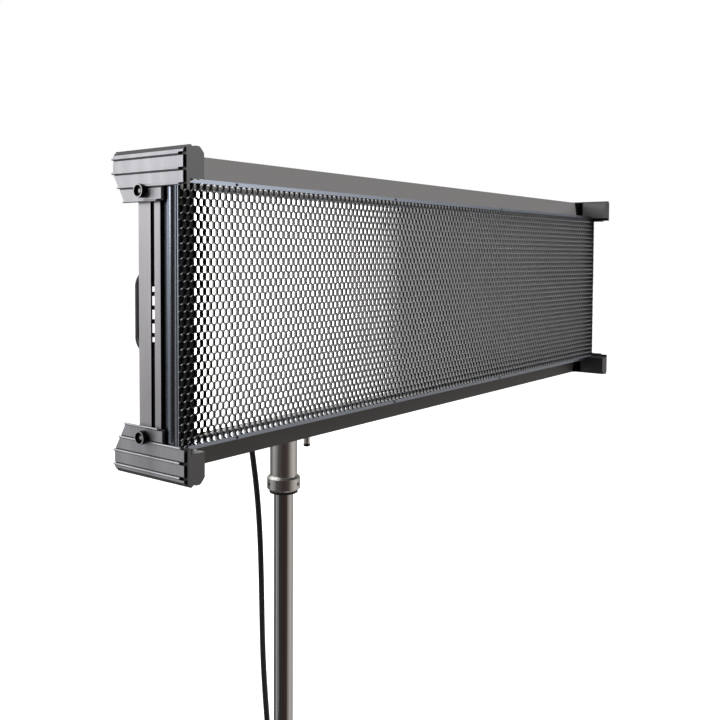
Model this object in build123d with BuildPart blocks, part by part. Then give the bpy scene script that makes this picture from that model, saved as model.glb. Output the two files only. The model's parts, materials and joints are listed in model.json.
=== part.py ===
"""Long LED soft light on a stand riser, with a honeycomb louver held in four corner brackets.

Row frame, in millimetres: the origin is the foot of the riser tube, +Z runs up the riser, -Y is
the way the lamp shines and +X runs along the lamp. The lamp head has its own centre: head_x is
its middle, face_y the front plane of the honeycomb and head_z the middle of its height.
"""
import os
from math import cos, pi, radians, sin, tan

from build123d import *

os.makedirs("parts", exist_ok=True)

# ---- driving dimensions -------------------------------------------------------------------
head_x = 160.0          # middle of the lamp, to the right of the riser
face_y = -190.0         # front plane of the honeycomb
head_z = 880.0          # middle of the lamp above the riser's foot

half_length = 540.0     # to the outside of the end extrusions
half_height = 165.0     # to the outside of the long rails
rail_front = 26.0       # long rails' front faces, behind the honeycomb plane
body_back = 52.0        # back of the extruded frame
end_width = 28.0        # end extrusions, along the lamp
lip_front = 18.6        # front of the lip on each end extrusion
lip_width = 10.0
wall = 3.0              # extrusion walls
rail_inner = 129.0      # inner edge of the long rails
rail_lean = 4.0         # their front faces lean back by this much
lit_half = 490.0        # half length of the lit window
sheet = 2.5             # diffuser and covers

groove = (27.5, 33.4)   # groove down the end extrusions, front and back edge
groove_depth = 2.0
slot_heights = (5.2, 9.6, 9.6, 9.6, 5.2)
slot_gap = 4.4

opening_half = 133.5    # honeycomb opening, half height
core_half = 533.0       # honeycomb opening, half length
louver_flange = 4.2
louver_flange_half = 520.5
core_thick = 2.5

guard_out = 546.0       # outside of the corner brackets
guard_in = 522.0
guard_top = 167.6
guard_front = -26.0
guard_back = 87.0
guard_low = 134.7       # lower edge of a bracket's front box
lobe_front = 12.0       # front edge of the lobe that carries the thumb nut
rib_spacing = 14.9
rib_r = 1.2
rib_proud = 1.4
knob_y, knob_z = 38.5, 125.0
knob_r, knob_len = 7.1, 6.0
shank_r = 2.0
guard_travel = 12.0

housing_half = 130.0    # rear housing, half length, centred on the riser's axis
housing_high = 95.0
housing_back = 90.0
tilt_y = 112.0          # tilt axis, behind the honeycomb plane
bolt_r = 6.0

riser_r = 14.3          # 1 1/8 in tube
riser_wall = 1.8
riser_top = head_z - 215
foot_length = 60.0      # plain stretch of the riser's foot, below its groove
spigot_r = 14.24
receiver_r = 20.0
receiver_low = head_z - 262.9
receiver_high = head_z - 120
collar_r = 24.4
collar_low = head_z - 284.5
collar_z = (receiver_low + collar_low) / 2
collar_angles = (41.5, 161.5, 281.5)
ring_high = 3.5
tee_z = head_z - 207.5
tee_reach = 53.0
tee_half = 17.6

cord_d = 8.0
coil_mid_r = 45.0
coil_layers, coil_columns = 3, 4
coil_centre = (-95.0, 0.0, 188.0)
turn_pitch = 8.4


def save(piece, name):
    piece.part.label = name
    export_step(piece.part, f"parts/{name}.step")


def front(y, x=0.0, z=0.0):
    """A plane across the lamp at depth y, facing forward: sketch x is +X and sketch y is +Z."""
    return Plane(origin=(head_x + x, face_y + y, head_z + z), x_dir=(1, 0, 0), z_dir=(0, -1, 0))


def side(x, y=0.0, z=0.0):
    """A plane across the lamp's length at x: sketch x is +Y, sketch y is +Z, normal +X."""
    return Plane(origin=(head_x + x, face_y + y, head_z + z), x_dir=(0, 1, 0), z_dir=(1, 0, 0))


def level(z, x=0.0, y=0.0):
    """A level plane at height z in the lamp: sketch x is +X and sketch y is +Y."""
    return Plane(origin=(head_x + x, face_y + y, head_z + z), x_dir=(1, 0, 0), z_dir=(0, 0, 1))


def block(low, high, mode=Mode.ADD):
    """A box between two corners given in the lamp's own frame, joined to the open part."""
    size = [b - a for a, b in zip(low, high)]
    middle = [(a + b) / 2 for a, b in zip(low, high)]
    with Locations((head_x + middle[0], face_y + middle[1], head_z + middle[2])):
        Box(*size, mode=mode)


def radial(angle, r, z):
    """A plane facing away from the riser's axis, at radius r and height z."""
    out = (cos(radians(angle)), sin(radians(angle)), 0)
    return Plane(origin=(r * out[0], r * out[1], z), x_dir=(0, 0, 1), z_dir=out)


across_middle = Plane.YZ.offset(head_x)
level_middle = Plane.XY.offset(head_z)


def mirrored(piece, sx, sz=1):
    """A copy of a piece from the upper right, taken to side sx and edge sz of the lamp."""
    shape = piece.part
    if sx < 0:
        shape = mirror(shape, about=across_middle, mode=Mode.PRIVATE)
    if sz < 0:
        shape = mirror(shape, about=level_middle, mode=Mode.PRIVATE)
    with BuildPart() as copy:
        add(shape)
    return copy


# ---- extruded frame -----------------------------------------------------------------------
rail_half = half_length - end_width

with BuildPart() as top_rail:
    with BuildSketch(side(-rail_half)):
        with BuildLine():
            Polyline((rail_front, rail_inner), (rail_front, rail_inner + 3), (rail_front + rail_lean, half_height),
                     (body_back, half_height), (body_back, rail_inner), close=True)
        make_face()
        with BuildLine():
            Polyline((rail_front + wall, rail_inner + wall), (rail_front + wall + rail_lean, half_height - wall),
                     (body_back - wall, half_height - wall), (body_back - wall, rail_inner + wall), close=True)
        make_face(mode=Mode.SUBTRACT)
        with Locations(((rail_front + rail_lean + body_back) / 2, half_height)):
            Rectangle(6, 2, mode=Mode.SUBTRACT)
    extrude(amount=2 * rail_half)
save(top_rail, "top_rail")

bottom_rail = mirrored(top_rail, 1, -1)
save(bottom_rail, "bottom_rail")

slot_total = sum(slot_heights) + slot_gap * (len(slot_heights) - 1)
screw_slot = 4.6

with BuildPart() as end_right:
    with BuildSketch(level(-half_height)):
        with BuildLine():
            Polyline(
                (half_length, lip_front), (half_length, groove[0]),
                (half_length - groove_depth, groove[0]), (half_length - groove_depth, groove[1]),
                (half_length, groove[1]), (half_length, body_back), (rail_half, body_back),
                (rail_half, rail_front), (half_length - lip_width, rail_front),
                (half_length - lip_width, lip_front), close=True)
        make_face()
        with BuildLine():
            Polyline(
                (rail_half + wall, body_back - wall), (rail_half + wall, rail_front + wall),
                (half_length - groove_depth - 2, rail_front + wall),
                (half_length - groove_depth - 2, groove[1] + 1.2), (half_length - wall, groove[1] + 1.2),
                (half_length - wall, body_back - wall), close=True)
        make_face(mode=Mode.SUBTRACT)
    extrude(amount=2 * half_height)
    slot_z = slot_total / 2
    for height in slot_heights:
        block((half_length - groove_depth - 4, groove[0] + 0.6, slot_z - height),
              (half_length - groove_depth, groove[1] + 2, slot_z), Mode.SUBTRACT)
        slot_z -= height + slot_gap
    block((rail_half + wall, body_back - wall - 1, -slot_total / 2 - 2),
          (half_length - wall - 3, body_back + 1, slot_total / 2 + 2), Mode.SUBTRACT)
    for edge in (1, -1):
        low, high = sorted((edge * (knob_z - 3), edge * (knob_z + guard_travel + 3)))
        block((half_length - wall - 1, knob_y - screw_slot / 2, low),
              (half_length + 1, knob_y + screw_slot / 2, high), Mode.SUBTRACT)
save(end_right, "end_right")

end_left = mirrored(end_right, -1)
save(end_left, "end_left")

with BuildPart() as side_bezels:
    for sx in (1, -1):
        low, high = sorted((sx * lit_half, sx * (rail_half - 0.2)))
        block((low, rail_front - 3, -rail_inner + 0.2), (high, rail_front, rail_inner - 0.2))
save(side_bezels, "side_bezels")

# ---- light engine -------------------------------------------------------------------------
inner_half = rail_half - 3
tray_back = 48.0
tray_wall = 1.2

with BuildPart() as diffuser:
    block((-inner_half, rail_front, -rail_inner + 0.2),
          (inner_half, rail_front + sheet, rail_inner - 0.2))
save(diffuser, "diffuser")

with BuildPart() as reflector_tray:
    block((-inner_half, rail_front + sheet, -rail_inner + 0.2),
          (inner_half, tray_back, rail_inner - 0.2))
    block((-inner_half + tray_wall, rail_front + sheet - 1, -rail_inner + 0.2 + tray_wall),
          (inner_half - tray_wall, tray_back - tray_wall, rail_inner - 0.2 - tray_wall), Mode.SUBTRACT)
save(reflector_tray, "reflector_tray")

board_count = 8
board_pitch = 2 * lit_half / board_count
board_thick = 1.6

with BuildPart() as led_boards:
    for i in range(board_count):
        left = -lit_half + board_pitch * i
        block((left + 1, tray_back - tray_wall - board_thick, -120),
              (left + board_pitch - 1, tray_back - tray_wall, 120))
save(led_boards, "led_boards")

# ---- rear cover with cooling fins ---------------------------------------------------------
cover_back = 50.4
rocker_x, rocker_z = -95.0, 24.0
fin_back = 58.0
fin_half = 118.0
fin_thick = 1.8
fin_pitch = 16.0
riser_x = -head_x


def fin_places():
    """Fin positions along the lamp, leaving the rear housing and the handles clear."""
    count = int(2 * 490 / fin_pitch) + 1
    places = [-490 + fin_pitch * i for i in range(count)]
    return [x for x in places if abs(x - riser_x) > housing_half + 6]


with BuildPart() as rear_cover:
    block((-rail_half + 0.2, tray_back, -rail_inner + 0.2), (rail_half - 0.2, cover_back, rail_inner - 0.2))
    for x in fin_places():
        block((x - fin_thick / 2, cover_back, -fin_half), (x + fin_thick / 2, fin_back, fin_half))
save(rear_cover, "rear_cover")

with BuildPart() as rear_housing:
    with BuildSketch(front(cover_back, riser_x)):
        RectangleRounded(2 * housing_half, 2 * housing_high, 10)
    extrude(amount=-(housing_back - cover_back))
    fillet(rear_housing.faces().sort_by(Axis.Y)[-1].edges(), 3)
    with BuildSketch(front(cover_back, riser_x)):
        RectangleRounded(2 * (housing_half - sheet), 2 * (housing_high - sheet), 8)
    extrude(amount=-(housing_back - cover_back - sheet), mode=Mode.SUBTRACT)
    with Locations(Plane(origin=(head_x + riser_x, face_y + cover_back + 18, head_z + housing_high),
                         x_dir=(1, 0, 0), z_dir=(0, 0, 1))):
        with GridLocations(12, 0, 15, 1):
            Box(4, 16, 12, mode=Mode.SUBTRACT)
    with BuildSketch(front(housing_back + 1, riser_x)):
        with Locations((92, -10)):
            Rectangle(52, 96)
    extrude(amount=6, mode=Mode.SUBTRACT)
    with BuildSketch(front(housing_back - 1, riser_x + rocker_x, rocker_z)):
        RectangleRounded(16.8, 26.4, 2)
    extrude(amount=-2)
    with BuildSketch(front(housing_back + 2, riser_x + rocker_x, rocker_z)):
        Rectangle(12.8, 22.4)
    extrude(amount=8, mode=Mode.SUBTRACT)
save(rear_housing, "rear_housing")

with BuildPart() as power_supply:
    block((riser_x - 118, cover_back, -78), (riser_x + 34, cover_back + 28, 62))
    with Locations((head_x + riser_x - 42, face_y + cover_back + 28, head_z - 8)):
        with GridLocations(13, 0, 11, 1):
            Box(3, 6, 130, mode=Mode.SUBTRACT)
save(power_supply, "power_supply")

with BuildPart() as driver_board:
    block((riser_x + 44, cover_back + 6, -70), (riser_x + 122, cover_back + 7.6, 70))
    for x, z, w, h, deep in ((62, 48, 18, 18, 9), (92, 46, 24, 14, 6), (66, -46, 14, 26, 12), (104, -40, 20, 20, 7)):
        block((riser_x + x - w / 2, cover_back + 7.6, z - h / 2),
              (riser_x + x + w / 2, cover_back + 7.6 + deep, z + h / 2))
    for x in (48, 118):
        for z in (-64, 64):
            block((riser_x + x - 3, cover_back, z - 3), (riser_x + x + 3, cover_back + 6, z + 3))
save(driver_board, "driver_board")

# ---- rear controls ------------------------------------------------------------------------
panel_x = 92.0           # controls, to the right of the riser's axis
panel_back = housing_back + 2
button_travel = 1.5
button_r = 4.6
button_gap = 0.4

with BuildPart() as control_panel:
    with BuildSketch(front(housing_back, riser_x + panel_x)):
        with Locations((0, -10)):
            RectangleRounded(64, 112, 4)
    extrude(amount=-2)
    with BuildSketch(front(housing_back, riser_x + panel_x)):
        with Locations((-13, -2), (13, -2)):
            Circle(button_r + button_gap)
        with Locations((-14, -38), (14, -38)):
            Circle(3.3)
        with Locations((0, 24)):
            Rectangle(44, 26)
    extrude(amount=-2, mode=Mode.SUBTRACT)
save(control_panel, "control_panel")

with BuildPart() as display_window:
    block((riser_x + panel_x - 21.9, housing_back - 1.2, 24 - 12.9),
          (riser_x + panel_x + 21.9, housing_back + 1.4, 24 + 12.9))
save(display_window, "display_window")

for name, x in (("button_left", -13), ("button_right", 13)):
    with BuildPart() as button:
        with BuildSketch(front(housing_back - 4, riser_x + panel_x + x, -2)):
            Circle(button_r)
        extrude(amount=-(panel_back - housing_back + 4 + 1.8))
        chamfer(button.faces().sort_by(Axis.Y)[-1].edges(), 0.5)
    save(button, name)

for name, x in (("encoder_left", -14), ("encoder_right", 14)):
    with BuildPart() as encoder:
        with BuildSketch(front(panel_back + 0.4, riser_x + panel_x + x, -38)):
            Circle(9)
            with PolarLocations(9.4, 20):
                Circle(0.9, mode=Mode.SUBTRACT)
        extrude(amount=-13)
        with BuildSketch(front(panel_back + 13.4, riser_x + panel_x + x, -38)):
            Circle(6.2)
        extrude(amount=1.2, mode=Mode.SUBTRACT)
        with BuildSketch(front(housing_back - 5, riser_x + panel_x + x, -38)):
            Circle(3.0)
        extrude(amount=-8)
    save(encoder, name)

rocker_pivot = 3.0       # its pivot lies this deep in the housing
with BuildPart() as rocker_switch:
    with BuildSketch(side(riser_x + rocker_x - 6, housing_back, rocker_z)):
        with BuildLine():
            Polyline((-1, -9.6), (-1, 9.6), (3.2, 9.6), (1.4, 0), (5.0, -9.6), close=True)
        make_face()
        with Locations((-rocker_pivot, 0)):
            Circle(3.2)
    extrude(amount=12)
save(rocker_switch, "rocker_switch")

# ---- tilt mount on the housing ------------------------------------------------------------
plate_thick = 5.0
ear_in, ear_out = 17.0, 25.0
ear_r = 15.5
lug_half = 16.9

with BuildPart() as mount_plate:
    with BuildSketch(front(housing_back, riser_x)):
        RectangleRounded(84, 84, 6)
        with GridLocations(68, 68, 2, 2):
            Circle(3.1, mode=Mode.SUBTRACT)
    extrude(amount=-plate_thick)
    for sx in (1, -1):
        start = min(sx * ear_in, sx * ear_out)
        with BuildSketch(side(riser_x + start, tilt_y)):
            Circle(ear_r)
            with Locations((-(tilt_y - housing_back - plate_thick) / 2, 0)):
                Rectangle(tilt_y - housing_back - plate_thick, 2 * ear_r)
        extrude(amount=ear_out - ear_in)
    with BuildSketch(side(riser_x - ear_out - 1, tilt_y)):
        Circle(bolt_r + 0.05)
    extrude(amount=2 * ear_out + 2, mode=Mode.SUBTRACT)
save(mount_plate, "mount_plate")

with BuildPart() as rear_screws:
    for x in (-34, 34):
        for z in (-34, 34):
            with BuildSketch(front(housing_back + plate_thick, riser_x + x, z)):
                Circle(5)
                RegularPolygon(2.6, 6, mode=Mode.SUBTRACT)
            extrude(amount=-3)
            with BuildSketch(front(housing_back + plate_thick, riser_x + x, z)):
                Circle(5)
            extrude(amount=-0.6)
            with BuildSketch(front(housing_back + plate_thick, riser_x + x, z)):
                Circle(3.0)
            extrude(amount=plate_thick)
    for x in (-118, 118):
        for z in (-83, 83):
            with BuildSketch(front(housing_back, riser_x + x, z)):
                Circle(3.2)
                RegularPolygon(1.7, 6, mode=Mode.SUBTRACT)
            extrude(amount=-1.6)
save(rear_screws, "rear_screws")

with BuildPart() as pivot_bolt:
    with BuildSketch(side(riser_x - ear_out - 8, tilt_y)):
        RegularPolygon(9.8, 6)
    extrude(amount=8)
    with BuildSketch(side(riser_x - ear_out, tilt_y)):
        Circle(bolt_r)
    extrude(amount=2 * ear_out + 13)
    chamfer(pivot_bolt.faces().sort_by(Axis.X)[-1].edges(), 0.8)
save(pivot_bolt, "pivot_bolt")

lever_x = ear_out + 0.4
with BuildPart() as tilt_lever:
    with BuildSketch(side(riser_x + lever_x, tilt_y)):
        Circle(11)
        Circle(bolt_r + 0.06, mode=Mode.SUBTRACT)
    extrude(amount=12.2)
    with BuildSketch(level(-9, riser_x + lever_x + 6.1, tilt_y)):
        SlotOverall(11, 8)
    with BuildSketch(level(-72, riser_x + lever_x + 16, tilt_y)):
        SlotOverall(15, 9.5)
    loft()
save(tilt_lever, "tilt_lever")

# ---- rear handles -------------------------------------------------------------------------
handle_x = 517.0
handle_back = 79.5
handle_half = 39.0
handle_r = 4.5

with BuildPart() as rear_handle_right:
    with BuildLine(side(handle_x)):
        FilletPolyline((body_back, handle_half), (handle_back, handle_half),
                       (handle_back, -handle_half), (body_back, -handle_half), radius=12)
    with BuildSketch(front(body_back, handle_x, handle_half)):
        Circle(handle_r)
    sweep()
    for z in (handle_half, -handle_half):
        with BuildSketch(front(body_back, handle_x, z)):
            Circle(7)
        extrude(amount=-3)
save(rear_handle_right, "rear_handle_right")

rear_handle_left = mirrored(rear_handle_right, -1)
save(rear_handle_left, "rear_handle_left")

# ---- louver: frame, honeycomb sheet, screws -----------------------------------------------
louver_back = 17.6
glossy_back = 10.5
frame_step = 4.0
frame_wall = 2.0
bead, bead_step = 1.3, 0.9   # the bead along the side walls' inner edge

with BuildPart() as louver_right:
    with BuildSketch(level(-opening_half)):
        with BuildLine():
            Polyline((core_half, 0), (core_half + bead, 0), (core_half + bead, bead_step),
                     (half_length, bead_step), (half_length, glossy_back),
                     (half_length - frame_step, glossy_back), (half_length - frame_step, louver_back),
                     (core_half, louver_back), close=True)
        make_face()
    extrude(amount=2 * opening_half)
    outer = louver_right.edges().filter_by(Axis.Z).filter_by_position(
        Axis.X, head_x + half_length - 0.1, head_x + half_length + 0.1)
    fillet(outer.sort_by(Axis.Y)[0], 4.5)
    fillet(louver_right.edges().filter_by(Axis.Z).filter_by_position(
        Axis.Y, face_y + glossy_back - 0.1, face_y + glossy_back + 0.1).sort_by(Axis.X)[-1], 3)
save(louver_right, "louver_right")

louver_left = mirrored(louver_right, -1)
save(louver_left, "louver_left")

with BuildPart() as louver_top:
    with BuildSketch(side(-louver_flange_half)):
        with Locations((frame_wall / 2, opening_half + louver_flange / 2)):
            Rectangle(frame_wall, louver_flange)
        with Locations((louver_back / 2, opening_half + frame_wall / 2)):
            Rectangle(louver_back, frame_wall)
    extrude(amount=2 * louver_flange_half)
save(louver_top, "louver_top")

louver_bottom = mirrored(louver_top, 1, -1)
save(louver_bottom, "louver_bottom")

with BuildPart() as honeycomb_core:
    block((-core_half, 1, -opening_half), (core_half, 1 + core_thick, opening_half))
save(honeycomb_core, "honeycomb_core")

with BuildPart() as louver_screws:
    for x in (-450, -150, 150, 450):
        for sz in (1, -1):
            with BuildSketch(front(0, x, sz * (opening_half + louver_flange / 2))):
                Circle(1.5)
                RegularPolygon(0.8, 6, mode=Mode.SUBTRACT)
            extrude(amount=0.7)
save(louver_screws, "louver_screws")

# ---- corner brackets, their clamp bolts and thumb nuts ------------------------------------
plate_in = half_length + 0.4        # inside of a bracket's end plate
face_x = guard_out - rib_proud      # its outside, between the ribs
section = ((guard_in, 100), (guard_in, 160.4), (523.4, 162), (526, 165), (528.4, 166.9), (533.4, 166.9),
           (535.4, 166), (537.4, 166), (539.2, guard_top), (541, guard_top), (541, 165.4),
           (543, 165.4), (543, 163.2), (face_x, 163.2), (face_x, 100))
outline = ((guard_front, guard_top), (guard_front, 130), (lobe_front, 130), (lobe_front, 115), (69, 115),
           (78, 130), (guard_back, 144.5), (guard_back, guard_top))
rib_ends = ((-14.5, 88), (-14.5, 88), (-14.5, 79), (18.5, 70))
seam = (-25.0, -20.3)               # groove between the front box and the end plate
seam_floor = 541.4
box_side = 544.0                    # outer side of the front box

with BuildPart() as guard_upper_right:
    with BuildSketch(front(guard_front)):
        with BuildLine():
            Polyline(*section, close=True)
        make_face()
    extrude(amount=guard_front - guard_back)
    with BuildSketch(side(guard_in)):
        with BuildLine():
            Polyline(*outline, close=True)
        make_face()
    extrude(amount=face_x - guard_in, mode=Mode.INTERSECT)
    block((guard_in - 1, lip_front - 0.4, 100), (plate_in, body_back + 0.6, half_height + 0.4),
          Mode.SUBTRACT)
    block((guard_in - 1, guard_front - 1, 100), (plate_in, guard_back + 1, guard_low), Mode.SUBTRACT)
    block((seam_floor, seam[0], 100), (guard_out, seam[1], guard_top + 1), Mode.SUBTRACT)
    block((box_side, guard_front - 1, 100), (guard_out, seam[0], guard_top + 1), Mode.SUBTRACT)
    for i, (rib_low, rib_high) in enumerate(rib_ends):
        z = 159.6 - rib_spacing * i
        block((face_x - 0.8, max(rib_low - 7, seam[1]), z - 2.4), (face_x + 1, rib_high + 1, z - 1.1), Mode.SUBTRACT)
        block((face_x - 3, max(rib_low - 7, seam[1]), z - 1.4), (face_x + 1, rib_low, z + 1.4), Mode.SUBTRACT)
        with BuildSketch(front(rib_low, face_x + rib_proud - rib_r, z)):
            Circle(rib_r)
        extrude(amount=rib_low - rib_high)
    with BuildSketch(side(plate_in - 1, knob_y, knob_z)):
        Circle(shank_r + 0.1)
    extrude(amount=10, mode=Mode.SUBTRACT)
save(guard_upper_right, "guard_upper_right")

nut_seat = guard_out + 0.3          # inner face of a thumb nut
bolt_head = 3.6
bolt_low = half_length - wall - 0.2 - bolt_head
recess = 2.6
with BuildPart() as bolt_upper_right:
    with BuildSketch(side(bolt_low, knob_y, knob_z)):
        Rectangle(7.4, 11)
    extrude(amount=bolt_head)
    with BuildSketch(side(bolt_low, knob_y, knob_z)):
        Circle(shank_r)
    extrude(amount=nut_seat + knob_len - recess - bolt_low)
save(bolt_upper_right, "bolt_upper_right")

with BuildPart() as knob_upper_right:
    with BuildSketch(side(nut_seat, knob_y, knob_z)):
        Circle(knob_r)
        with PolarLocations(knob_r + 0.25, 20):
            Circle(0.55, mode=Mode.SUBTRACT)
        Circle(shank_r + 0.06, mode=Mode.SUBTRACT)
    extrude(amount=knob_len)
    with BuildSketch(side(nut_seat + knob_len, knob_y, knob_z)):
        Circle(knob_r - 1.3)
    extrude(amount=-recess, mode=Mode.SUBTRACT)
save(knob_upper_right, "knob_upper_right")

for prefix, piece in (("guard", guard_upper_right), ("bolt", bolt_upper_right), ("knob", knob_upper_right)):
    for corner, sx, sz in (("upper_left", -1, 1), ("lower_right", 1, -1), ("lower_left", -1, -1)):
        save(mirrored(piece, sx, sz), f"{prefix}_{corner}")

# ---- stand side: riser, receiver, collar, T-handle screw ----------------------------------
with BuildPart() as riser_tube:
    with BuildSketch():
        Circle(riser_r)
        Circle(riser_r - riser_wall, mode=Mode.SUBTRACT)
    extrude(amount=riser_top)
    chamfer(riser_tube.faces().sort_by(Axis.Z)[0].edges().sort_by(SortBy.RADIUS)[0], 0.8)
    with BuildSketch(Plane.XY.offset(foot_length)):
        Circle(riser_r + 1)
        Circle(riser_r - 0.5, mode=Mode.SUBTRACT)
    extrude(amount=2, mode=Mode.SUBTRACT)
save(riser_tube, "riser_tube")

with BuildPart() as receiver:
    with BuildSketch(Plane.XY.offset(receiver_low)):
        Circle(receiver_r)
    extrude(amount=receiver_high - receiver_low)
    fillet(receiver.faces().sort_by(Axis.Z)[-1].edges(), 2)
    with BuildSketch(Plane(origin=(receiver_r - 3, 0, tee_z), x_dir=(0, 1, 0), z_dir=(1, 0, 0))):
        Circle(9)
    extrude(amount=10)
    with BuildSketch(Plane.XY.offset(receiver_low)):
        Circle(riser_r + 0.04)
    extrude(amount=receiver_high - receiver_low, mode=Mode.SUBTRACT)
    with BuildSketch(Plane(origin=(5, 0, tee_z), x_dir=(0, 1, 0), z_dir=(1, 0, 0))):
        Circle(4.06)
    extrude(amount=30, mode=Mode.SUBTRACT)
save(receiver, "receiver")

with BuildPart() as collar:
    with BuildSketch(Plane.XY.offset(collar_low)):
        Circle(collar_r)
    extrude(amount=receiver_low - collar_low)
    chamfer(collar.edges().filter_by(GeomType.CIRCLE), 3)
    with BuildSketch(Plane.XY.offset(collar_low)):
        Circle(riser_r + 0.04)
    extrude(amount=receiver_low - collar_low, mode=Mode.SUBTRACT)
    for angle in collar_angles:
        with BuildSketch(radial(angle, 0, collar_z)):
            Circle(2.6)
        extrude(amount=collar_r + 1, mode=Mode.SUBTRACT)
save(collar, "collar")

with BuildPart() as set_screws:
    for angle in collar_angles:
        with BuildSketch(radial(angle, riser_r + 0.02, collar_z)):
            Circle(2.5)
        extrude(amount=5.5)
        with BuildSketch(radial(angle, riser_r + 5.52, collar_z)):
            RegularPolygon(1.4, 6)
        extrude(amount=-3, mode=Mode.SUBTRACT)
save(set_screws, "set_screws")

with BuildPart() as seal_ring:
    with BuildSketch(Plane.XY.offset(collar_low - ring_high)):
        Circle(collar_r - 3.4)
        Circle(riser_r + 0.02, mode=Mode.SUBTRACT)
    extrude(amount=ring_high)
save(seal_ring, "seal_ring")

with BuildPart() as tee_handle:
    with BuildSketch(radial(0, riser_r + 0.1, tee_z)):
        Circle(4.0)
    extrude(amount=tee_reach - riser_r)
    with BuildSketch(Plane(origin=(tee_reach, 0, tee_z - tee_half))):
        Circle(4.7)
    extrude(amount=2 * tee_half)
    with BuildSketch(radial(0, tee_reach - 14, tee_z)):
        Circle(6.5)
    extrude(amount=8, taper=12)
save(tee_handle, "tee_handle")

with BuildPart() as tee_tips:
    for up in (1, -1):
        with BuildSketch(Plane(origin=(tee_reach, 0, tee_z + up * tee_half), x_dir=(1, 0, 0),
                               z_dir=(0, 0, up))):
            Circle(5.0)
        extrude(amount=4.2)
    fillet(tee_tips.edges().filter_by(GeomType.CIRCLE).group_by(Axis.Z)[0], 1.5)
    fillet(tee_tips.edges().filter_by(GeomType.CIRCLE).group_by(Axis.Z)[-1], 1.5)
save(tee_tips, "tee_tips")

# ---- pan and tilt bracket, its spigot and cable box ---------------------------------------
tilt_back = -(face_y + tilt_y)      # from the tilt axis back to the riser's axis
arm_half = 12.0
column_half = 19.0
column_foot = head_z - 116
spigot_low = riser_top + 1.5

with BuildPart() as tilt_bracket:
    with BuildSketch(Plane(origin=(-lug_half, -tilt_back, head_z), x_dir=(0, 1, 0), z_dir=(1, 0, 0))):
        Circle(arm_half + 2)
        with BuildLine():
            Polyline((0, arm_half), (tilt_back + column_half, arm_half - 3),
                     (tilt_back + column_half, column_foot - head_z),
                     (tilt_back - column_half, column_foot - head_z),
                     (tilt_back - column_half, -58), (0, -arm_half - 1), close=True)
        make_face()
    extrude(amount=2 * lug_half)
    fillet(tilt_bracket.edges().filter_by(Axis.Z).group_by(Axis.Y)[-1], 6)
    fillet(tilt_bracket.edges().filter_by(Axis.X).group_by(Axis.Y)[-1].group_by(Axis.Z)[-1], 5)
    with BuildSketch(Plane(origin=(-lug_half - 1, -tilt_back, head_z), x_dir=(0, 1, 0), z_dir=(1, 0, 0))):
        Circle(bolt_r + 0.06)
    extrude(amount=2 * lug_half + 2, mode=Mode.SUBTRACT)
save(tilt_bracket, "tilt_bracket")

with BuildPart() as spigot:
    with BuildSketch(Plane.XY.offset(spigot_low)):
        Circle(spigot_r)
    extrude(amount=receiver_high + 0.3 - spigot_low)
    with BuildSketch(Plane.XY.offset(receiver_high + 0.3)):
        Circle(receiver_r - 1)
    extrude(amount=column_foot - receiver_high - 0.3)
    chamfer(spigot.faces().sort_by(Axis.Z)[0].edges(), 1)
save(spigot, "spigot")

box_low = (-96.0, -15.0, head_z - 92)
box_high = (-lug_half, 15.0, head_z - 52)
with BuildPart() as junction_box:
    with Locations(tuple((a + b) / 2 for a, b in zip(box_low, box_high))):
        Box(*[b - a for a, b in zip(box_low, box_high)])
    fillet(junction_box.edges().filter_by(Axis.Y), 4)
save(junction_box, "junction_box")

gland_x = -80.0
gland_low = head_z - 140
with BuildPart() as cable_gland:
    with BuildSketch(Plane(origin=(gland_x, 0, box_low[2] - 12))):
        RegularPolygon(10.5, 6)
    extrude(amount=12)
    with BuildSketch(Plane(origin=(gland_x, 0, gland_low))):
        Circle(5.4)
    with BuildSketch(Plane(origin=(gland_x, 0, box_low[2] - 12))):
        Circle(8.5)
    loft()
save(cable_gland, "cable_gland")

# ---- power cord: hanging run, tied coil, tail and plug ------------------------------------
coil_x, coil_y, coil_z = coil_centre
coil_across = turn_pitch * coil_layers      # the wound section, across and deep
coil_deep = turn_pitch * coil_columns
outer_turn = coil_mid_r + coil_across / 2 - turn_pitch / 2
first_column = coil_y - coil_deep / 2 + turn_pitch / 2
last_column = -first_column

cord_route = ((gland_x, 0, gland_low), (-70, 0, 678), (-57.5, 0, 610), (-50.5, 0, 540), (-47.5, 0, 460),
              (-47.5, -2, 370), (-46, -7, 290), (coil_x + outer_turn, first_column, coil_z + 20))
tail_route = ((coil_x + outer_turn, last_column, coil_z + 4), (-40.6, 13, 162), (-41.8, 12, 122))


def bend_radii(route):
    """The largest tangent radius at each inner point: 0.45 of the shorter run over tan(half turn)."""
    points = [Vector(*p) for p in route]
    radii = []
    for before, here, after in zip(points, points[1:], points[2:]):
        run_in, run_out = here - before, after - here
        turn = radians(run_in.get_angle(run_out))
        radii.append(0.45 * min(run_in.length, run_out.length) / tan(turn / 2))
    return radii


def cord_tube(route, name):
    radii = bend_radii(route)
    start = Vector(*route[0])
    with BuildPart() as tube:
        with BuildLine() as path:
            FilletPolyline(*route, radius=radii)
        with BuildSketch(Plane(origin=start, z_dir=Vector(*route[1]) - start)):
            Circle(cord_d / 2)
        sweep()
    length = path.wires()[0].length
    ratio = tube.part.volume / (length * pi * cord_d**2 / 4)
    print(name, "radii", [round(r) for r in radii], "length", round(length), "volume ratio", round(ratio, 4))
    save(tube, name)
    return length


hanging = cord_tube(cord_route, "power_cord")
tail = cord_tube(tail_route, "cord_tail")
turns = coil_layers * coil_columns
print("whole cord, mm:", round(hanging + tail + turns * 2 * pi * coil_mid_r))

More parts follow.
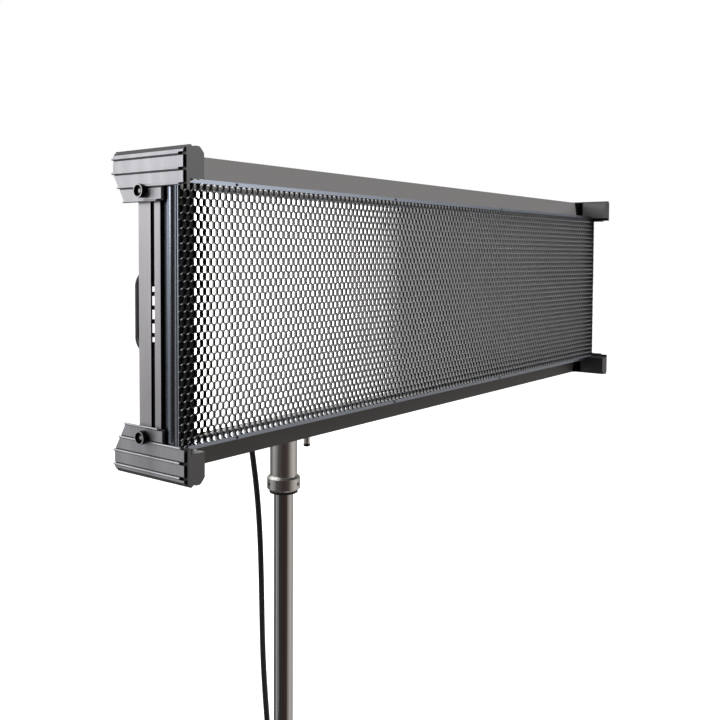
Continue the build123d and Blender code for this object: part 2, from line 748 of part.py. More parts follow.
with BuildPart() as cord_coil:
    with BuildSketch(Plane(origin=(coil_x, coil_deep / 2, coil_z), x_dir=(1, 0, 0), z_dir=(0, -1, 0))):
        Circle(coil_mid_r + coil_across / 2)
        Circle(coil_mid_r - coil_across / 2, mode=Mode.SUBTRACT)
    extrude(amount=coil_deep)
    fillet(cord_coil.edges().filter_by(GeomType.CIRCLE), 3.5)
save(cord_coil, "cord_coil")

tie_high, tie_thick = 16.0, 1.6
riser_gap, coil_gap = 0.7, 1.8
with BuildPart() as coil_tie:
    for grow, mode in ((tie_thick, Mode.ADD), (0, Mode.SUBTRACT)):
        with BuildSketch(Plane.XY.offset(coil_z - tie_high / 2)):
            Circle(riser_r + riser_gap + grow)
            with Locations((coil_x + coil_mid_r, 0)):
                RectangleRounded(coil_across + 2 * (coil_gap + grow), coil_deep + 2 * (coil_gap + grow), 3)
            make_hull()
        extrude(amount=tie_high, mode=mode)
save(coil_tie, "coil_tie")

tail_end = Vector(*tail_route[-1])
plug_way = (tail_end - Vector(*tail_route[-2])).normalized()


def plug_plane(along):
    """A plane across the plug, a distance along it from the cord's end."""
    return Plane(origin=tail_end + plug_way * along, x_dir=(0, 1, 0), z_dir=plug_way)


with BuildPart() as plug:
    with BuildSketch(plug_plane(0)):
        Circle(5.2)
    with BuildSketch(plug_plane(12)):
        RectangleRounded(17, 15, 5)
    loft()
    with BuildSketch(plug_plane(12)):
        RectangleRounded(17, 15, 5)
    with BuildSketch(plug_plane(30)):
        RectangleRounded(25, 21, 6)
    loft()
    with BuildSketch(plug_plane(30)):
        RectangleRounded(25, 21, 6)
    extrude(amount=7)
save(plug, "plug")

with BuildPart() as plug_pins:
    with BuildSketch(plug_plane(37)):
        with Locations((-6.35, 3), (6.35, 3)):
            Rectangle(1.5, 6.3)
        with Locations((0, -6)):
            Circle(2.4)
    extrude(amount=17)
save(plug_pins, "plug_pins")
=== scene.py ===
# %% [markdown]
# This scene dresses a long LED soft light with a honeycomb louver. The frame holds every rigid piece
# at its real size, so the first step only loads it.
# Most of what follows takes its place from boxes that the frame reports.

# %% Load the frame
import json
import math

import bpy
from mathutils import Matrix, Vector


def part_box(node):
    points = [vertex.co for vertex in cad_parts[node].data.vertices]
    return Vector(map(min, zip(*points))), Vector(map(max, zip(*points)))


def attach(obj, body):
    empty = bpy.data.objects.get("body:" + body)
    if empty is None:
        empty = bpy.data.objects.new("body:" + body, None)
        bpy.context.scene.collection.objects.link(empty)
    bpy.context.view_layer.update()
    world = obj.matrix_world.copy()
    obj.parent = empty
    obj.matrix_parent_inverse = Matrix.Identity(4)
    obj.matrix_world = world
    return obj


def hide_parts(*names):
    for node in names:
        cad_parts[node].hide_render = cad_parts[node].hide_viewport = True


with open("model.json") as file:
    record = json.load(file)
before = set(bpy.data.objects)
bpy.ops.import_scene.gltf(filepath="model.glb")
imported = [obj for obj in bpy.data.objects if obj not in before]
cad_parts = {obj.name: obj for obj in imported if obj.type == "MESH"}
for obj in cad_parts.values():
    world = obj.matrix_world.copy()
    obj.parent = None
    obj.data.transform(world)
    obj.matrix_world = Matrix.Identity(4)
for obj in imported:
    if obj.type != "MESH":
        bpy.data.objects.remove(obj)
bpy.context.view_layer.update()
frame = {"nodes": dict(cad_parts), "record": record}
nodes = frame["nodes"]
MM = 0.001

# %% [markdown]
# The lamp has its own centre: the middle of the honeycomb, in the plane of the louver frame's front.
# The lights, the camera and the bare faces are described from that point, so it is worked out once.

# %% Find the lamp's own centre
core_low, core_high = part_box("honeycomb_core")
louver_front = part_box("louver_left")[0].y
head = Vector(((core_low.x + core_high.x) / 2, louver_front, (core_low.z + core_high.z) / 2))
core_size = core_high - core_low
print("head centre", [round(v, 4) for v in head])


def at_head(x, y, z):
    """A point given in millimetres from the lamp's centre."""
    return head + Vector((x, y, z)) * MM


# %% [markdown]
# The camera stands in front of the lamp's left end, a little above its middle, and looks along it.
# A real view camera would keep the lamp upright with a falling front: the shift does the same here.

# %% Place the camera
camera_data = bpy.data.cameras.new("camera")
camera_data.lens = 43.91
camera_data.shift_x = 0.0347
camera_data.shift_y = -0.0957
camera = bpy.data.objects.new("camera", camera_data)
bpy.context.collection.objects.link(camera)
heading, dip, roll = math.radians(38.19), math.radians(2.30), math.radians(0.208)
look = Vector((math.cos(heading) * math.cos(dip), math.sin(heading) * math.cos(dip), -math.sin(dip)))
turn = look.to_track_quat("-Z", "Y").to_matrix() @ Matrix.Rotation(roll, 3, "Z")
camera_place = at_head(-1123.7, -663.4, 60.3)
camera.matrix_world = Matrix.Translation(camera_place) @ turn.to_4x4()
bpy.context.scene.camera = camera
print("camera", round((head - camera_place).length, 3), "m from the lamp's centre")

# %% [markdown]
# The studio is a white sweep. The floor is one large plane, bright enough to read as paper white. It
# is hidden from reflections and bounced light, so that the room below decides how the undersides look.

# %% Build the floor
floor_size = 60
bpy.ops.mesh.primitive_plane_add(size=floor_size, location=(0, 0, 0))
floor = bpy.context.object
floor.name = "floor"
floor_paint = bpy.data.materials.new("studio_floor")
floor_paint.use_nodes = True
floor_shader = floor_paint.node_tree.nodes["Principled BSDF"]
floor_shader.inputs["Base Color"].default_value = (0.85, 0.85, 0.85, 1)
floor_shader.inputs["Roughness"].default_value = 0.9
floor_shader.inputs["Specular IOR Level"].default_value = 0.0
floor_shader.inputs["Emission Color"].default_value = (1, 1, 1, 1)
floor_shader.inputs["Emission Strength"].default_value = 0.75
floor.data.materials.append(floor_paint)
floor.visible_diffuse = False
floor.visible_glossy = False
print("floor", floor_size, "m square")

# %% [markdown]
# The room, the metals and the honeycomb are all node trees with some arithmetic in them. Three small
# helpers keep that arithmetic readable: each makes one node, feeds it and hands back its result.


# %% Write helpers for node arithmetic
def feed(tree, socket, value):
    """Give a socket a plain value, or link another socket to it."""
    if isinstance(value, bpy.types.NodeSocket):
        tree.links.new(value, socket)
    else:
        socket.default_value = value


def maths(tree, operation, *values):
    """A Math node whose inputs are numbers or sockets; returns its result socket."""
    node = tree.nodes.new("ShaderNodeMath")
    node.operation = operation
    for socket, value in zip(node.inputs, values):
        feed(tree, socket, value)
    return node.outputs[0]


def colour_mix(tree, factor, first, second):
    """A Mix node for two colours, each a tuple or a socket; returns its result socket."""
    node = tree.nodes.new("ShaderNodeMix")
    node.data_type = "RGBA"
    tree.links.new(factor, node.inputs[0])
    colours = [socket for socket in node.inputs if socket.type == "RGBA"]
    for socket, value in zip(colours, (first, second)):
        feed(tree, socket, value)
    return next(socket for socket in node.outputs if socket.type == "RGBA")


# %% [markdown]
# What polished tube and satin metal show is the room around them, so the room is painted first. Two
# ramps over the compass give each direction its brightness, one above the horizon and one below: a
# bright window in front to the right, a softer one behind the left end, and a dark camera side. Each
# stop is a bearing in degrees, a level and a tint.

# %% Choose the room's levels
camera_side = (1.0, 0.72, 0.66)
warm = (1.0, 0.95, 0.90)
plain = (1.0, 1.0, 1.0)
above = ((-180, 0.10, plain), (-142, 0.03, camera_side), (-90, 0.10, plain), (-66, 0.55, plain),
         (-48, 1.90, plain), (-34, 0.60, plain), (-22, 0.22, plain), (20, 0.15, plain), (80, 0.30, plain),
         (106, 1.50, plain), (126, 1.15, plain), (135, 0.72, plain), (150, 0.90, plain),
         (164, 0.20, plain), (180, 0.10, plain))
below = ((-180, 0.04, plain), (-142, 0.035, camera_side), (-100, 0.05, camera_side), (-80, 0.30, warm),
         (-50, 0.52, warm), (-20, 0.45, warm), (20, 0.20, warm), (80, 0.06, plain), (115, 0.12, plain),
         (127, 0.50, plain), (136, 0.30, plain), (145, 0.14, plain), (152, 0.30, plain), (160, 0.14, plain),
         (180, 0.04, plain))
horizon_low, horizon_high = -0.14, 0.06   # one ramp fades into the other between these heights
print("stops", len(above), "above and", len(below), "below")

# %% Measure the bearing of each direction
world = bpy.data.worlds.new("studio")
world.use_nodes = True
room = world.node_tree
direction = room.nodes.new("ShaderNodeTexCoord")
split = room.nodes.new("ShaderNodeSeparateXYZ")
room.links.new(direction.outputs["Generated"], split.inputs[0])
around = room.nodes.new("ShaderNodeMapRange")
around.inputs["From Min"].default_value = -math.pi
around.inputs["From Max"].default_value = math.pi
room.links.new(maths(room, "ARCTAN2", split.outputs["Y"], split.outputs["X"]), around.inputs["Value"])


def compass_ramp(stops):
    """A colour ramp over the compass; returns its colour."""
    ramp = room.nodes.new("ShaderNodeValToRGB")
    ramp.color_ramp.interpolation = "EASE"
    elements = ramp.color_ramp.elements
    elements[0].position, elements[1].position = 0, 1
    for stop in stops[1:-1]:
        elements.new((stop[0] + 180) / 360)
    for element, (_, level, tint) in zip(elements, stops):
        element.color = (*(level * t for t in tint), 1)
    room.links.new(around.outputs["Result"], ramp.inputs["Fac"])
    return ramp.outputs["Color"]


# %% [markdown]
# The backdrop itself stays plain white: a ray from the camera skips the ramps, and every other ray
# sees them. The standard view transform keeps that white a clean white.

# %% Paint the room
height = room.nodes.new("ShaderNodeMapRange")
height.interpolation_type = "SMOOTHSTEP"
height.inputs["From Min"].default_value = horizon_low
height.inputs["From Max"].default_value = horizon_high
room.links.new(split.outputs["Z"], height.inputs["Value"])
walls = room.nodes["Background"]
room.links.new(colour_mix(room, height.outputs["Result"], compass_ramp(below), compass_ramp(above)),
               walls.inputs["Color"])
backdrop = room.nodes.new("ShaderNodeBackground")
backdrop.inputs["Color"].default_value = (1, 1, 1, 1)
seen = room.nodes.new("ShaderNodeLightPath")
choose = room.nodes.new("ShaderNodeMixShader")
room.links.new(seen.outputs["Is Camera Ray"], choose.inputs[0])
room.links.new(walls.outputs[0], choose.inputs[1])
room.links.new(backdrop.outputs[0], choose.inputs[2])
room.links.new(choose.outputs[0], room.nodes["World Output"].inputs["Surface"])
bpy.context.scene.world = world
bpy.context.scene.view_settings.view_transform = "Standard"
print("room nodes", len(room.nodes))

# %% [markdown]
# Two large soft boxes model the painted shapes. One stands to the left, well behind the lamp's
# front plane, and lights the ribbed end plates. The other hangs high in front and lights the rails.


# %% Hang the soft boxes
def soft_box(name, place, target, width, height, power):
    """An area light at one point, aimed at another; its sides are in metres, its power in watts."""
    light = bpy.data.lights.new(name, "AREA")
    light.shape = "RECTANGLE"
    light.size = width
    light.size_y = height
    light.energy = power
    lamp = bpy.data.objects.new(name, light)
    bpy.context.collection.objects.link(lamp)
    aim = (target - place).to_track_quat("-Z", "Y").to_matrix().to_4x4()
    lamp.matrix_world = Matrix.Translation(place) @ aim
    print(name, round((target - place).length, 2), "m away,", power, "W")


soft_box("left_box", at_head(-2600, 700, 900), at_head(-500, 0, 0), width=1.4, height=1.6, power=25)
soft_box("front_box", at_head(500, -1300, 2300), at_head(250, 0, 0), width=1.6, height=1.2, power=150)

# %% [markdown]
# Most surfaces are paint, moulded plastic or turned metal. Each is a Principled shader with a small
# noise in its roughness and its bump, because a perfectly even surface looks like a rendering. The
# noise reads Object coordinates, which are metres here, so a grain size can be given in millimetres.


# %% Write a material maker
def finish_material(name, color, roughness, metallic=0.0, grain_mm=0.6, grain=0.08, bump=0.02,
                    stretch=(1, 1, 1)):
    """A Principled material with fine noise in its roughness and surface."""
    material = bpy.data.materials.new(name)
    material.use_nodes = True
    tree = material.node_tree
    shader = tree.nodes["Principled BSDF"]
    shader.inputs["Base Color"].default_value = (*color, 1)
    shader.inputs["Roughness"].default_value = roughness
    shader.inputs["Metallic"].default_value = metallic
    place = tree.nodes.new("ShaderNodeTexCoord")
    mapping = tree.nodes.new("ShaderNodeMapping")
    mapping.inputs["Scale"].default_value = stretch
    noise = tree.nodes.new("ShaderNodeTexNoise")
    noise.inputs["Scale"].default_value = 1 / (grain_mm * MM)
    noise.inputs["Detail"].default_value = 3
    spread = tree.nodes.new("ShaderNodeMapRange")
    spread.inputs["To Min"].default_value = max(roughness - grain, 0.02)
    spread.inputs["To Max"].default_value = min(roughness + grain, 1)
    relief = tree.nodes.new("ShaderNodeBump")
    relief.inputs["Strength"].default_value = 0.4
    relief.inputs["Distance"].default_value = bump * MM
    link = tree.links.new
    link(place.outputs["Object"], mapping.inputs["Vector"])
    link(mapping.outputs["Vector"], noise.inputs["Vector"])
    link(noise.outputs["Fac"], spread.inputs["Value"])
    link(spread.outputs["Result"], shader.inputs["Roughness"])
    link(noise.outputs["Fac"], relief.inputs["Height"])
    link(relief.outputs["Normal"], shader.inputs["Normal"])
    return material


# %% [markdown]
# The ends and the corner brackets are bare metal with fine upright brush marks and broad soft bands.
# Both are noise stretched along Z: a fast one for the brush marks and a slow one for the bands. Only
# the outermost faces are bare metal with these tones; every face further in takes one dark colour. On
# the brackets' front boxes that dark is their own finish. In the grooves and on the end pieces' recessed
# faces, such as the lip's front beside the louver, it is painted shade. A comparison of the Object X
# with one distance from the lamp's middle tells the two apart.

# %% Write a brushed metal maker
band_mm, band_stretch = 22, 0.12
brush_mm, brush_stretch = 0.5, 0.02
brush_share = 0.3        # how much of the tone comes from the brush marks


def upright_noise(tree, place, size_mm, upright):
    """Noise of one size, stretched along Z; returns its factor."""
    mapping = tree.nodes.new("ShaderNodeMapping")
    mapping.inputs["Scale"].default_value = (1, 1, upright)
    noise = tree.nodes.new("ShaderNodeTexNoise")
    noise.inputs["Scale"].default_value = 1 / (size_mm * MM)
    noise.inputs["Detail"].default_value = 2
    tree.links.new(place, mapping.inputs["Vector"])
    tree.links.new(mapping.outputs["Vector"], noise.inputs["Vector"])
    return noise.outputs["Fac"]


def brushed_metal(name, dark, light, roughness, bright_face_from, dark_finish_and_shade):
    """A satin metal whose tone wanders between two colours in upright bands, with fine brush marks.

    Outer faces past the threshold show the tones; inner faces take one dark colour, a real finish on
    bracket boxes and painted shade in grooves and recesses.
    """
    material = bpy.data.materials.new(name)
    material.use_nodes = True
    tree = material.node_tree
    shader = tree.nodes["Principled BSDF"]
    shader.inputs["Metallic"].default_value = 0.9
    shader.inputs["Roughness"].default_value = roughness
    place = tree.nodes.new("ShaderNodeTexCoord").outputs["Object"]
    brushing = upright_noise(tree, place, brush_mm, brush_stretch)
    blend = tree.nodes.new("ShaderNodeMix")
    blend.inputs["Factor"].default_value = brush_share
    tree.links.new(upright_noise(tree, place, band_mm, band_stretch), blend.inputs["A"])
    tree.links.new(brushing, blend.inputs["B"])
    tones = tree.nodes.new("ShaderNodeValToRGB")
    first, last = tones.color_ramp.elements
    first.position, last.position = 0.3, 0.7
    first.color, last.color = (*dark, 1), (*light, 1)
    tree.links.new(blend.outputs["Result"], tones.inputs["Fac"])
    along = tree.nodes.new("ShaderNodeSeparateXYZ")
    tree.links.new(place, along.inputs[0])
    # Faces nearer the middle than the threshold get the dark colour: painted shade in grooves and recesses,
    # the brackets' own dark finish on their front boxes.
    distance = maths(tree, "ABSOLUTE", maths(tree, "SUBTRACT", along.outputs["X"], head.x))
    bare_and_highlight_mask = maths(tree, "GREATER_THAN", distance, bright_face_from)
    tree.links.new(colour_mix(tree, bare_and_highlight_mask, (*dark_finish_and_shade, 1), tones.outputs["Color"]),
                   shader.inputs["Base Color"])
    relief = tree.nodes.new("ShaderNodeBump")
    relief.inputs["Strength"].default_value = 0.25
    relief.inputs["Distance"].default_value = 0.02 * MM
    tree.links.new(brushing, relief.inputs["Height"])
    tree.links.new(relief.outputs["Normal"], shader.inputs["Normal"])
    return material


def outer_faces_beyond(node, depth):
    """How far from the lamp's middle a node's outermost faces start, for faces up to depth deep."""
    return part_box(node)[1].x - head.x - depth


# %% [markdown]
# The finishes: a brown-grey powder coat on the long rails, bare brushed ends and brackets, a smoked
# metal louver frame, and several blacks. A little difference in gloss is what tells rubber, plastic
# and metal apart. The thumb nuts are black; the pale metal ring on their outer face is a painted
# highlight. The near-black inner faces of the ends are painted shade.

# %% Mix the paints, plastics and metals
face_depth = 0.1 * MM      # a flat outer face
plate_depth = 1.9 * MM     # a bracket's plate, between its ribs
rail_paint = finish_material("rail_paint", (0.095, 0.09, 0.088), 0.5, grain_mm=0.5, bump=0.03)
# The end pieces' near-black inner faces, such as the lip's front beside the louver, are painted shade.
end_paint = brushed_metal("end_paint", (0.46, 0.44, 0.47), (0.60, 0.58, 0.60), 0.4,
                          outer_faces_beyond("end_right", face_depth), (0.012, 0.012, 0.012))
housing_paint = finish_material("housing_paint", (0.05, 0.047, 0.045), 0.5, grain_mm=0.7, bump=0.05)
# The brackets' dark grey inner faces are their front boxes' own finish and painted shade in their grooves.
guard_grey = brushed_metal("guard_grey", (0.42, 0.42, 0.45), (0.62, 0.62, 0.65), 0.36,
                           outer_faces_beyond("guard_upper_right", plate_depth), (0.11, 0.108, 0.11))
black_trim = finish_material("black_trim", (0.016, 0.016, 0.018), 0.55)
black_metal = finish_material("black_metal", (0.022, 0.022, 0.024), 0.38, grain_mm=0.4)
louver_black = finish_material("louver_black", (0.30, 0.33, 0.39), 0.24, metallic=1, bump=0.005)
honeycomb = finish_material("honeycomb", (0.012, 0.0125, 0.015), 0.4, grain_mm=1.5)
# The thumb nut's pale metal outer face is a painted highlight; the rest of the nut is black.
black_knob = brushed_metal("black_knob", (0.5, 0.5, 0.5), (0.7, 0.7, 0.7), 0.3,
                           outer_faces_beyond("knob_upper_right", face_depth), (0.012, 0.012, 0.013))
lever_black = finish_material("lever_black", (0.014, 0.014, 0.015), 0.35)
rubber_black = finish_material("rubber_black", (0.012, 0.012, 0.012), 0.65)
plug_black = finish_material("plug_black", (0.014, 0.014, 0.014), 0.5)
gland_black = finish_material("gland_black", (0.014, 0.014, 0.014), 0.42)
tie_black = finish_material("tie_black", (0.016, 0.016, 0.017), 0.85, grain_mm=0.3, bump=0.12)
black_screws = finish_material("black_screws", (0.03, 0.03, 0.032), 0.3, metallic=0.9)
alloy = finish_material("alloy", (0.80, 0.78, 0.75), 0.3, metallic=1, grain_mm=0.25, stretch=(1, 1, 12))
alloy_case = finish_material("alloy_case", (0.6, 0.61, 0.62), 0.45, metallic=1)
steel = finish_material("steel", (0.5, 0.5, 0.5), 0.32, metallic=1)
riser_chrome = finish_material("riser_chrome", (0.72, 0.70, 0.69), 0.09, metallic=1, grain=0.02, bump=0.002)
pin_brass = finish_material("pin_brass", (0.72, 0.58, 0.34), 0.25, metallic=1)
board = finish_material("board", (0.03, 0.16, 0.06), 0.4)
reflector_white = finish_material("reflector_white", (0.85, 0.85, 0.85), 0.7)
grey_key = finish_material("grey_key", (0.22, 0.23, 0.25), 0.6)
display = finish_material("display", (0.006, 0.008, 0.012), 0.08, grain=0.0, bump=0.0)

# %% [markdown]
# The diffuser is an opal sheet lit from behind by the LED boards. Tracing light through it from real
# LEDs would be slow and noisy, and the eye only sees an even glow, so the sheet itself gives the light.

# %% Light the diffuser
diffuser_glow = finish_material("diffuser_glow", (0.9, 0.9, 0.88), 0.5)
glow = diffuser_glow.node_tree.nodes["Principled BSDF"]
glow.inputs["Emission Color"].default_value = (1.0, 0.985, 0.96, 1)
glow.inputs["Emission Strength"].default_value = 6.0
print("diffuser strength", glow.inputs["Emission Strength"].default_value)

# %% [markdown]
# The record names a material slot for every node, so a node finds its finish by that name and no
# list of nodes is needed here.

# %% Give every CAD node its finish
finishes = {
    "rail_paint": rail_paint, "end_paint": end_paint, "housing_paint": housing_paint,
    "guard_grey": guard_grey, "black_trim": black_trim, "black_metal": black_metal,
    "louver_black": louver_black, "honeycomb": honeycomb, "black_knob": black_knob,
    "lever_black": lever_black, "rubber_black": rubber_black, "plug_black": plug_black,
    "gland_black": gland_black, "tie_black": tie_black, "black_screws": black_screws,
    "alloy": alloy, "alloy_case": alloy_case, "steel": steel, "riser_chrome": riser_chrome,
    "pin_brass": pin_brass, "board": board, "reflector_white": reflector_white,
    "grey_key": grey_key, "display": display, "diffuser": diffuser_glow, "cord_black": rubber_black,
}
for part in frame["record"]["subparts"]:
    for slot in nodes[part["node"]].material_slots:
        slot.material = finishes[part["material_slot"]]
print("finishes", len(finishes))

# %% [markdown]
# The mains lead is one smooth line: it leaves the gland, swings in towards the riser, and the length
# that is not in use is wound into a tied coil of three layers and four columns. The coil's turns are
# worked out by a loop, a layer at a time in each column, so neighbouring turns lie a diameter apart.

# %% Lay the mains lead
cord_diameter = 8 * MM
turn_pitch = 8.4 * MM
coil_low, coil_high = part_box("cord_coil")
coil_middle = (coil_low + coil_high) / 2
middle_radius = 45 * MM
layers, columns, steps = 3, 4, 12
outer_radius = middle_radius + turn_pitch * (layers - 1) / 2
first_column = coil_middle.y - turn_pitch * (columns - 1) / 2

route = [(-80, 0, 740), (-70, 0, 678), (-57.5, 0, 610), (-50.5, 0, 540), (-47.5, 0, 460),
         (-47.5, -2, 370), (-46, -7, 290)]
lead_points = [Vector(p) * MM for p in route]


def winding(progress):
    """Radius and depth of the lead after a number of turns: in, out, in, out through the columns."""
    column = min(int(progress // layers), columns - 1)
    within = progress - column * layers
    depth = min(within, layers - 1) * turn_pitch
    radius = outer_radius - depth if column % 2 == 0 else outer_radius - (layers - 1) * turn_pitch + depth
    crossing = max(within - (layers - 1), 0) if column < columns - 1 else 0
    return radius, first_column + (column + crossing) * turn_pitch


bulge = 1 / math.cos(math.pi / steps)
for step in range(layers * columns * steps + 1):
    radius, depth = winding(step / steps)
    angle = -2 * math.pi * step / steps
    lead_points.append(Vector((coil_middle.x + radius * bulge * math.cos(angle), depth,
                               coil_middle.z + radius * bulge * math.sin(angle))))
tail = [(-40.6, 13, 162), (-41.8, 12, 122)]
lead_points += [Vector(p) * MM for p in tail]


def nurbs_cord(name, points, diameter, material):
    """One smooth NURBS line through its control points, as thick as the cord."""
    data = bpy.data.curves.new(name, "CURVE")
    data.dimensions = "3D"
    data.bevel_depth = diameter / 2
    data.bevel_resolution = 6
    data.resolution_u = 6
    data.use_fill_caps = True
    spline = data.splines.new("NURBS")
    spline.points.add(len(points) - 1)
    for slot_point, place in zip(spline.points, points):
        slot_point.co = (*place, 1)
    spline.order_u = 3
    spline.use_endpoint_u = True
    data.materials.append(material)
    piece = bpy.data.objects.new(name, data)
    bpy.context.collection.objects.link(piece)
    return piece


mains_lead = nurbs_cord("mains_lead", lead_points, cord_diameter, rubber_black)
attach(mains_lead, "pan")
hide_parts("power_cord", "cord_coil", "cord_tail")

# %% [markdown]
# The louver is a sheet of hexagonal cells. Built by hand it would be four thousand rings, so Geometry
# Nodes draw one cell with three edge extrusions, front rim, wall and back rim, and instance it on a
# grid whose every other row is set back by half a cell. Only the walls that a person can see are made.

# %% Work out the honeycomb's size
cell_columns = 122
cell_pitch = core_size.x / cell_columns
row_step = cell_pitch * math.sqrt(3) / 2
cell_rows = round(core_size.z / row_step)
row_step = core_size.z / cell_rows
cell_radius = cell_pitch / math.sqrt(3)
foil = 0.22 * MM
core_depth = 5.6 * MM
print("cells", cell_rows, "rows of", cell_columns, "pitch mm", round(cell_pitch / MM, 2))


# %% Write helpers for geometry trees
def node_tree(name, sizes):
    """A geometry tree with a float input for each size and one input for the material.

    Returns the tree, its input node and its output node.
    """
    tree = bpy.data.node_groups.new(name, "GeometryNodeTree")
    tree.interface.new_socket("Geometry", in_out="INPUT", socket_type="NodeSocketGeometry")
    for label in sizes:
        tree.interface.new_socket(label, in_out="INPUT", socket_type="NodeSocketFloat")
    tree.interface.new_socket("Material", in_out="INPUT", socket_type="NodeSocketMaterial")
    tree.interface.new_socket("Geometry", in_out="OUTPUT", socket_type="NodeSocketGeometry")
    return tree, tree.nodes.new("NodeGroupInput"), tree.nodes.new("NodeGroupOutput")


def combine(tree, x, y, z):
    """A Combine XYZ node whose inputs are numbers or sockets; returns its vector socket."""
    node = tree.nodes.new("ShaderNodeCombineXYZ")
    for socket, value in zip(node.inputs, (x, y, z)):
        feed(tree, socket, value)
    return node.outputs[0]


def close_tree(tree, instances, given, output):
    """Realize the instances, set the material and send the result to the output."""
    realize = tree.nodes.new("GeometryNodeRealizeInstances")
    paint = tree.nodes.new("GeometryNodeSetMaterial")
    tree.links.new(instances, realize.inputs["Geometry"])
    tree.links.new(realize.outputs["Geometry"], paint.inputs["Geometry"])
    tree.links.new(given.outputs["Material"], paint.inputs["Material"])
    tree.links.new(paint.outputs["Geometry"], output.inputs["Geometry"])


def grow(name, tree, values, material):
    """Run a tree on an empty mesh with its inputs set, and keep the result as a plain mesh object."""
    holder = bpy.data.objects.new(name + "_seed", bpy.data.meshes.new(name + "_seed"))
    bpy.context.collection.objects.link(holder)
    modifier = holder.modifiers.new("nodes", "NODES")
    modifier.node_group = tree
    for item in tree.interface.items_tree:
        if item.in_out == "INPUT" and item.name in values:
            modifier[item.identifier] = values[item.name]
        if item.in_out == "INPUT" and item.name == "Material":
            modifier[item.identifier] = material
    depsgraph = bpy.context.evaluated_depsgraph_get()
    mesh = bpy.data.meshes.new_from_object(holder.evaluated_get(depsgraph))
    mesh.name = name
    bpy.data.objects.remove(holder)
    piece = bpy.data.objects.new(name, mesh)
    bpy.context.collection.objects.link(piece)
    print(name, "faces", len(mesh.polygons))
    return piece


# %% Draw one cell
def extrude_edges(tree, shape, selected, move=None):
    """Extrude the selected edges by a vector, or on the spot; returns the mesh and the new edges."""
    pull = tree.nodes.new("GeometryNodeExtrudeMesh")
    pull.mode = "EDGES"
    pull.inputs["Offset Scale"].default_value = 0.0 if move is None else 1.0
    tree.links.new(shape, pull.inputs["Mesh"])
    if selected is not None:
        tree.links.new(selected, pull.inputs["Selection"])
    if move is not None:
        tree.links.new(move, pull.inputs["Offset"])
    return pull.outputs["Mesh"], pull.outputs["Top"]


def squeeze(tree, shape, selected, ratio):
    """Scale the selected edges about the cell's axis; returns the mesh."""
    place = tree.nodes.new("GeometryNodeSetPosition")
    where = tree.nodes.new("GeometryNodeInputPosition")
    times = tree.nodes.new("ShaderNodeVectorMath")
    times.operation = "MULTIPLY"
    tree.links.new(where.outputs["Position"], times.inputs[0])
    tree.links.new(combine(tree, ratio, ratio, 1.0), times.inputs[1])
    tree.links.new(shape, place.inputs["Geometry"])
    tree.links.new(selected, place.inputs["Selection"])
    tree.links.new(times.outputs["Vector"], place.inputs["Position"])
    return place.outputs["Geometry"]


def cell_walls(tree, given):
    """One hexagonal cell: its front rim, its inner wall and its back rim."""
    ring = tree.nodes.new("GeometryNodeMeshCircle")
    ring.fill_type = "NONE"
    ring.inputs["Vertices"].default_value = 6
    radius = given.outputs["Radius"]
    tree.links.new(radius, ring.inputs["Radius"])
    inner = maths(tree, "DIVIDE", maths(tree, "SUBTRACT", radius, given.outputs["Foil"]), radius)
    down = combine(tree, 0.0, 0.0, maths(tree, "MULTIPLY", given.outputs["Depth"], -1.0))
    shape, rim = extrude_edges(tree, ring.outputs["Mesh"], None)
    shape = squeeze(tree, shape, rim, inner)
    shape, rim = extrude_edges(tree, shape, rim, down)
    shape, rim = extrude_edges(tree, shape, rim)
    return squeeze(tree, shape, rim, maths(tree, "DIVIDE", 1.0, inner))


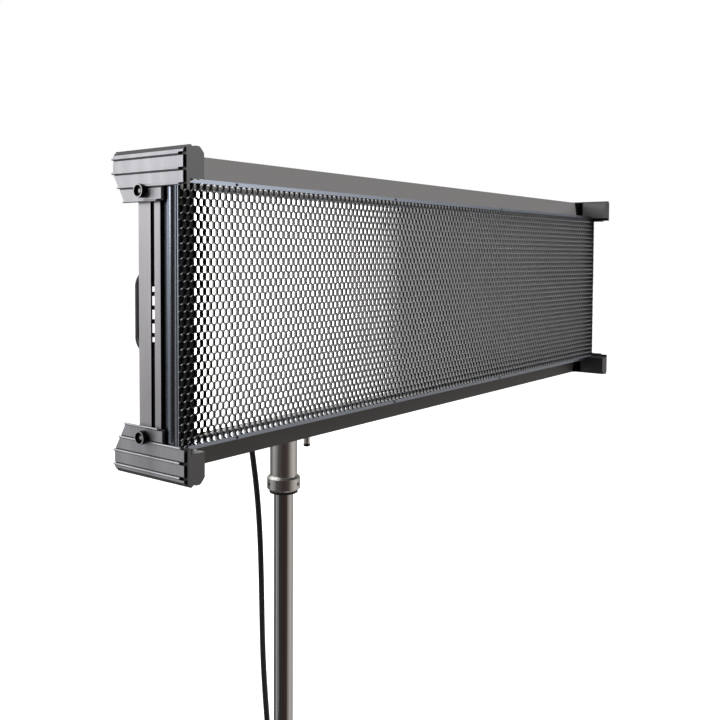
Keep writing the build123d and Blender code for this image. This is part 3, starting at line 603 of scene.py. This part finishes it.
# %% Lay the cells on a staggered grid
def honeycomb_tree():
    """The whole louver sheet, flat in XY, as copies of one cell."""
    tree, given, output = node_tree("honeycomb", ("Length", "Height", "Pitch", "Row Step", "Radius",
                                                  "Foil", "Depth", "Columns", "Rows"))
    link = tree.links.new
    shape = cell_walls(tree, given)
    grid = tree.nodes.new("GeometryNodeMeshGrid")
    link(given.outputs["Length"], grid.inputs["Size X"])
    link(maths(tree, "SUBTRACT", given.outputs["Height"], given.outputs["Row Step"]), grid.inputs["Size Y"])
    link(maths(tree, "ADD", given.outputs["Columns"], 1.0), grid.inputs["Vertices X"])
    link(given.outputs["Rows"], grid.inputs["Vertices Y"])
    where = tree.nodes.new("GeometryNodeInputPosition")
    split_where = tree.nodes.new("ShaderNodeSeparateXYZ")
    link(where.outputs["Position"], split_where.inputs[0])
    from_low = maths(tree, "ADD", split_where.outputs["Y"],
                     maths(tree, "MULTIPLY", given.outputs["Height"], 0.5))
    row = maths(tree, "FLOOR", maths(tree, "DIVIDE", from_low, given.outputs["Row Step"]))
    odd = maths(tree, "MODULO", row, 2.0)
    shift = maths(tree, "MULTIPLY", odd, maths(tree, "MULTIPLY", given.outputs["Pitch"], 0.5))
    stagger = tree.nodes.new("GeometryNodeSetPosition")
    link(grid.outputs["Mesh"], stagger.inputs["Geometry"])
    link(combine(tree, shift, 0.0, 0.0), stagger.inputs["Offset"])
    past = maths(tree, "GREATER_THAN", split_where.outputs["X"],
                 maths(tree, "ADD", maths(tree, "MULTIPLY", given.outputs["Length"], 0.5), MM))
    trim = tree.nodes.new("GeometryNodeDeleteGeometry")
    link(stagger.outputs["Geometry"], trim.inputs["Geometry"])
    link(past, trim.inputs["Selection"])
    copies = tree.nodes.new("GeometryNodeInstanceOnPoints")
    link(trim.outputs["Geometry"], copies.inputs["Points"])
    link(shape, copies.inputs["Instance"])
    link(combine(tree, 0.0, 0.0, math.pi / 6), copies.inputs["Rotation"])
    close_tree(tree, copies.outputs["Instances"], given, output)
    return tree


core = grow("honeycomb_cells", honeycomb_tree(), {
    "Length": core_size.x, "Height": core_size.z, "Pitch": cell_pitch, "Row Step": row_step,
    "Radius": cell_radius, "Foil": foil, "Depth": core_depth,
    "Columns": float(cell_columns), "Rows": float(cell_rows)}, honeycomb)
stand_up = Matrix.Translation(Vector((head.x, core_low.y, head.z))) @ Matrix.Rotation(math.pi / 2, 4, "X")
core.data.transform(stand_up)
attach(core, "louver")
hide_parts("honeycomb_core")
